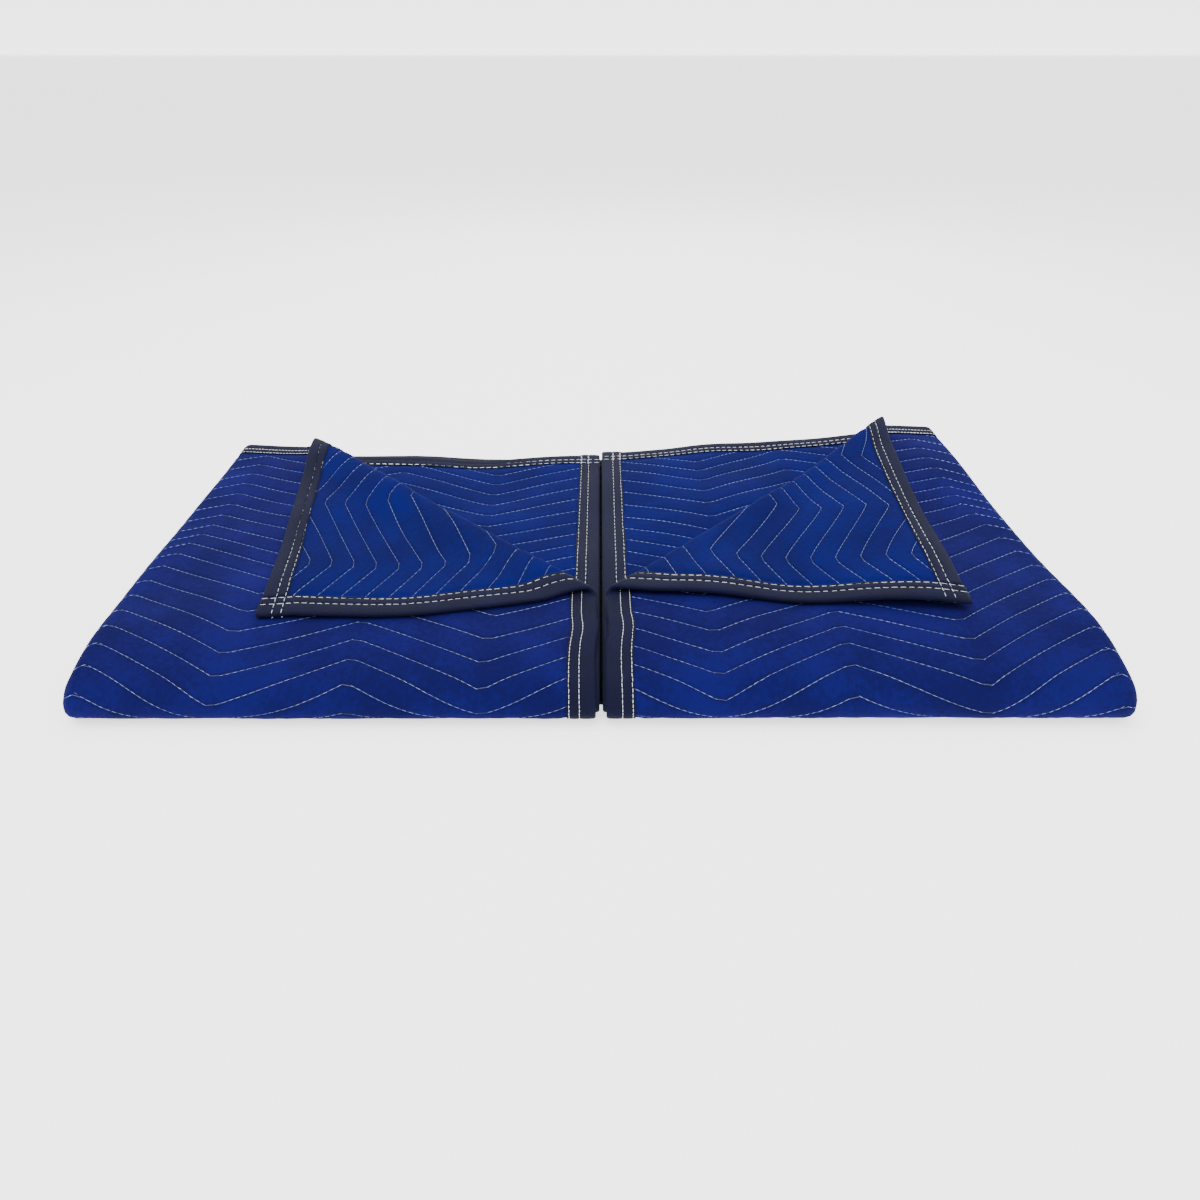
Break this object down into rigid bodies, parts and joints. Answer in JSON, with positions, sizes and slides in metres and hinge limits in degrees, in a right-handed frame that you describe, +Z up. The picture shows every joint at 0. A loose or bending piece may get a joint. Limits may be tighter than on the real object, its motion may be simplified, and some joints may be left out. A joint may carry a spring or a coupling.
{
  "type": "moving blanket",
  "caption": "Quilted moving blanket with bound edges, folded into a flat pack of eight layers, the two top corners at the middle of the back turned outwards.",
  "frame": {"origin": "middle of the pack's underside, on the ground", "axes": "+X to the right along the pack's long side, +Y to the back where the open edges lie, +Z up"},
  "size_m": [0.9297, 0.493, 0.0957],
  "materials": {
    "quilted_cloth": "matte quilted cotton and polyester cloth, dark royal blue outside and lighter blue inside, with white zigzag stitching",
    "binding_webbing": "matte woven navy webbing with two rows of white stitching"
  },
  "bodies": {
    "root": {"quilted_panel": "quilted_cloth", "end_binding_a": "binding_webbing", "end_binding_b": "binding_webbing", "side_binding_left": "binding_webbing", "side_binding_right": "binding_webbing"}
  },
  "joints": []
}
